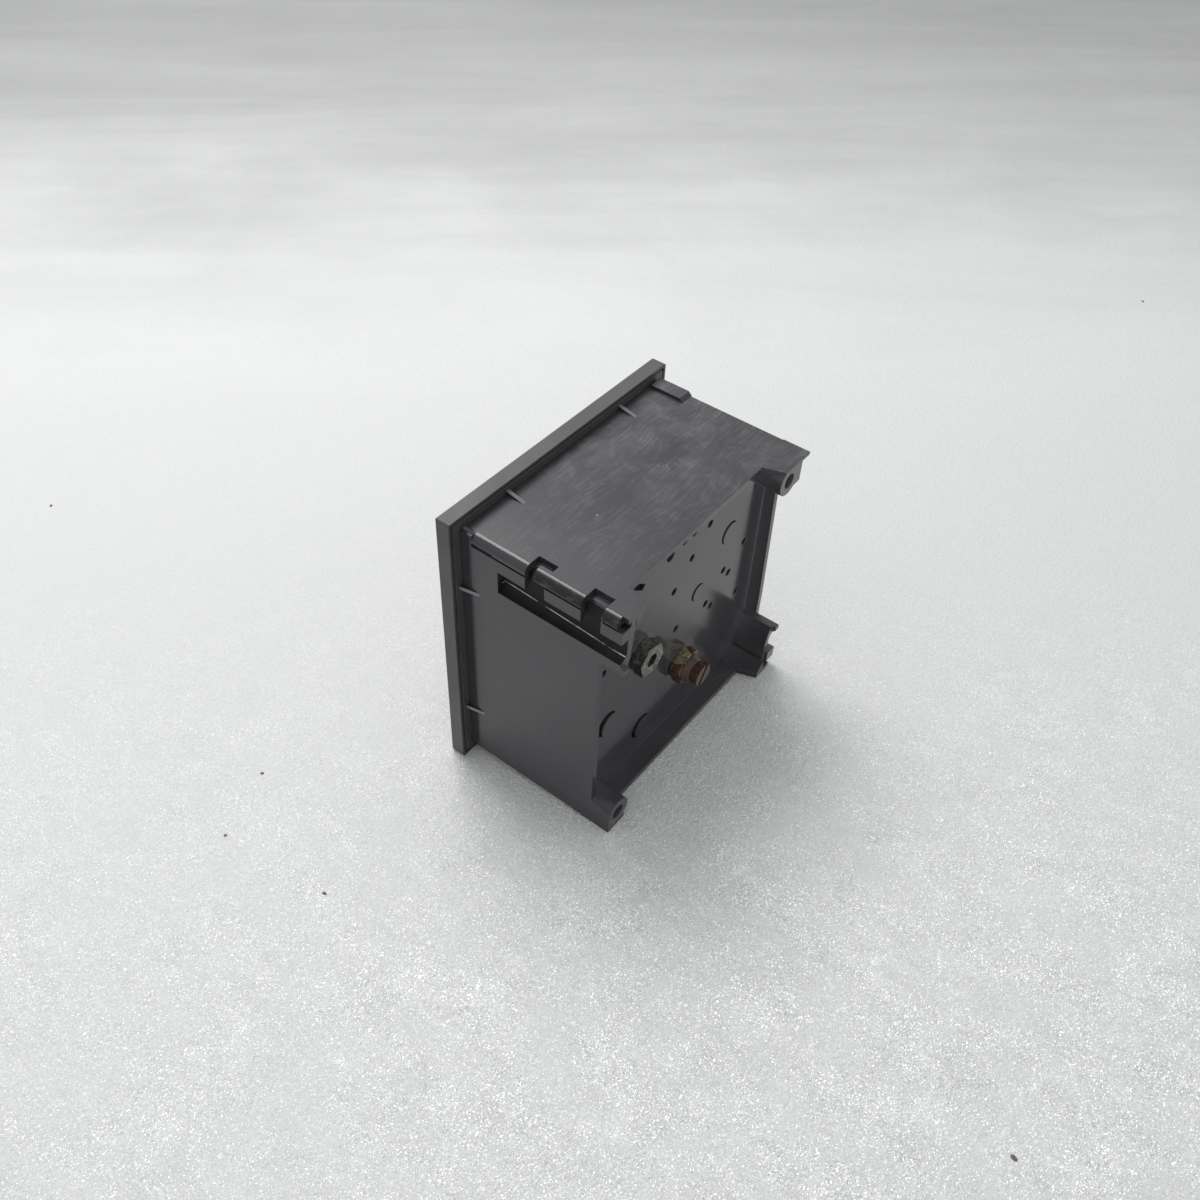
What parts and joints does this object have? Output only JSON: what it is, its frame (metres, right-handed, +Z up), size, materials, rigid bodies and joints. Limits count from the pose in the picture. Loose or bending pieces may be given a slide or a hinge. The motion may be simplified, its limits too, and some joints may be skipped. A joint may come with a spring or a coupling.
{
  "type": "panel ammeter",
  "caption": "Square panel ammeter with a slim bezel, quadrant scale and moving-iron movement; moulded case with clamp rails and two rear screw terminals.",
  "frame": {"origin": "centre of the panel plane, where the bezel's back face meets the panel", "axes": "+X to the right seen from the front, +Y from the dial to the terminals, +Z up"},
  "size_m": [0.096, 0.0605, 0.096],
  "materials": {
    "case_plastic": "satin black moulding, dusty and scuffed",
    "bezel_plastic": "matt black moulding with a faint grey bloom",
    "glass": "clear flat pane",
    "rubber": "soft black seal",
    "brass": "plain turned or stamped brass",
    "dial_paint": "matt off-white paint on aluminium",
    "zinc_steel": "zinc plated",
    "inner_plastic": "black moulding",
    "bobbin_plastic": "natural moulding",
    "enamelled_copper": "copper wire under clear enamel",
    "soft_iron": "annealed sheet iron",
    "pointer_paint": "matt black paint on aluminium",
    "aluminium": "bare stamped sheet",
    "magnet": "sintered, dull",
    "nickel_brass": "dull nickel plating, lightly tarnished",
    "lacquered_screw": "slotted screw under red-brown sealing lacquer",
    "tinned_brass": "tinned"
  },
  "bodies": {
    "housing": {"case": "case_plastic", "bezel": "bezel_plastic", "window": "glass", "window_seal": "rubber", "dial_plate": "dial_paint", "dial_screws": "zinc_steel", "pointer_stops": "bezel_plastic", "movement_frame": "inner_plastic", "movement_screws": "zinc_steel", "coil_bobbin": "bobbin_plastic", "coil_winding": "enamelled_copper", "fixed_iron": "soft_iron", "damping_magnet": "magnet", "bearing_bridge": "aluminium", "bridge_screws": "zinc_steel", "front_jewel": "brass", "rear_jewel": "brass", "open_terminal": "nickel_brass", "wired_terminal": "nickel_brass", "terminal_washers": "nickel_brass", "terminal_screw": "lacquered_screw", "screw_washer": "nickel_brass", "inner_washers": "nickel_brass", "solder_tags": "tinned_brass", "inner_nuts": "nickel_brass"},
    "moving_system": {"spindle": "zinc_steel", "pointer": "pointer_paint", "counterweights": "brass", "moving_iron": "soft_iron", "damping_vane": "aluminium", "hairspring": "brass"},
    "zero_adjuster": {"zero_screw": "bezel_plastic"},
    "zero_lever": {"zero_lever": "brass"}
  },
  "joints": [
    {"name": "pointer_swing", "type": "hinge", "parent": "housing", "child": "moving_system", "pos_m": [0.03, 0.0034, -0.03], "axis": [0, 1, 0], "range_deg": [-2, 92], "stiffness_Nm_per_rad": 0.00003, "deforming": ["hairspring"]},
    {"name": "zero_adjust", "type": "hinge", "parent": "housing", "child": "zero_adjuster", "pos_m": [0.03636, -0.003, -0.03636], "axis": [0, 1, 0], "range_deg": [-45, 45]},
    {"name": "lever_swing", "type": "hinge", "parent": "housing", "child": "zero_lever", "pos_m": [0.03, 0.0005, -0.03], "axis": [0, 1, 0], "range_deg": [-6.4, 6.4]}
  ],
  "couplings": [
    {"joint": "zero_adjust", "follows": "lever_swing", "ratio": 7}
  ]
}
